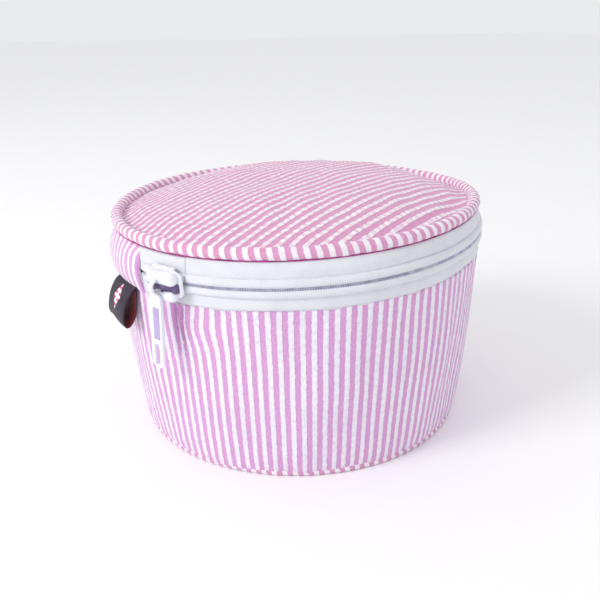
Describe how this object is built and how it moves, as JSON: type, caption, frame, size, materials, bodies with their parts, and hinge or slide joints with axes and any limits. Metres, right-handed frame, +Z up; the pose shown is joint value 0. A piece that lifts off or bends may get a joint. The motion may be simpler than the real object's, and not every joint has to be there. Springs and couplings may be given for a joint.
{
  "type": "hat box",
  "caption": "Soft round fabric hat box with a domed piped lid that unzips round the rim and folds back on a short fabric hinge, with a hanging zip pull and a side label loop.",
  "frame": {"origin": "centre of the base, on the surface the box stands on", "axes": "+Z up, +Y towards the fabric hinge at the back, -Y the front where the lid opens"},
  "size_m": [0.2024, 0.2088, 0.1313],
  "materials": {
    "striped_cotton": "puckered woven stripes, pink and white",
    "foam": "soft padding",
    "stiffener_board": "smooth sheet",
    "piping_cord": "twisted cotton cord",
    "zip_tape": "white herringbone tape",
    "zip_coil": "white moulded coil",
    "lining_cloth": "plain smooth cloth",
    "binding_tape": "ribbed binding",
    "label_ribbon": "woven ribbon",
    "painted_zinc": "glossy white enamel"
  },
  "bodies": {
    "case": {"wall_outer": "striped_cotton", "wall_foam": "foam", "wall_lining": "lining_cloth", "base_outer": "striped_cotton", "base_board": "stiffener_board", "base_lining": "lining_cloth", "base_welt_cover": "striped_cotton", "base_welt_cord": "piping_cord", "base_seam_binding": "binding_tape", "rim_seam_binding": "binding_tape", "lower_zip_tape": "zip_tape", "lower_zip_coil": "zip_coil", "closed_end_upper_tape": "zip_tape", "closed_end_upper_coil": "zip_coil", "open_end_upper_tape": "zip_tape", "open_end_upper_coil": "zip_coil", "hinge_panel": "striped_cotton", "hinge_lining": "lining_cloth", "label_loop": "label_ribbon"},
    "lid": {"lid_top": "striped_cotton", "lid_foam": "foam", "lid_lining": "lining_cloth", "lid_piping_cover": "striped_cotton", "lid_piping_cord": "piping_cord", "lid_seam_binding": "binding_tape", "upper_zip_tape": "zip_tape", "upper_zip_coil": "zip_coil"},
    "slider": {"slider_body": "painted_zinc", "slider_crown": "painted_zinc"},
    "pull": {"pull_tab": "painted_zinc"}
  },
  "joints": [
    {"name": "lid_hinge", "type": "hinge", "parent": "case", "child": "lid", "pos_m": [0, 0.1017, 0.10147], "axis": [-1, 0, 0], "range_deg": [0, 110], "deforming": ["hinge_panel", "hinge_lining"]},
    {"name": "slider_travel", "type": "hinge", "parent": "case", "child": "slider", "pos_m": [0, 0, 0.0945], "axis": [0, 0.0436, 0.999], "range_deg": [0, 311]},
    {"name": "pull_swing", "type": "hinge", "parent": "slider", "child": "pull", "pos_m": [-0.04721, 0.09718, 0.10107], "axis": [0.8988, 0.438, -0.0191], "range_deg": [0, 150]}
  ]
}
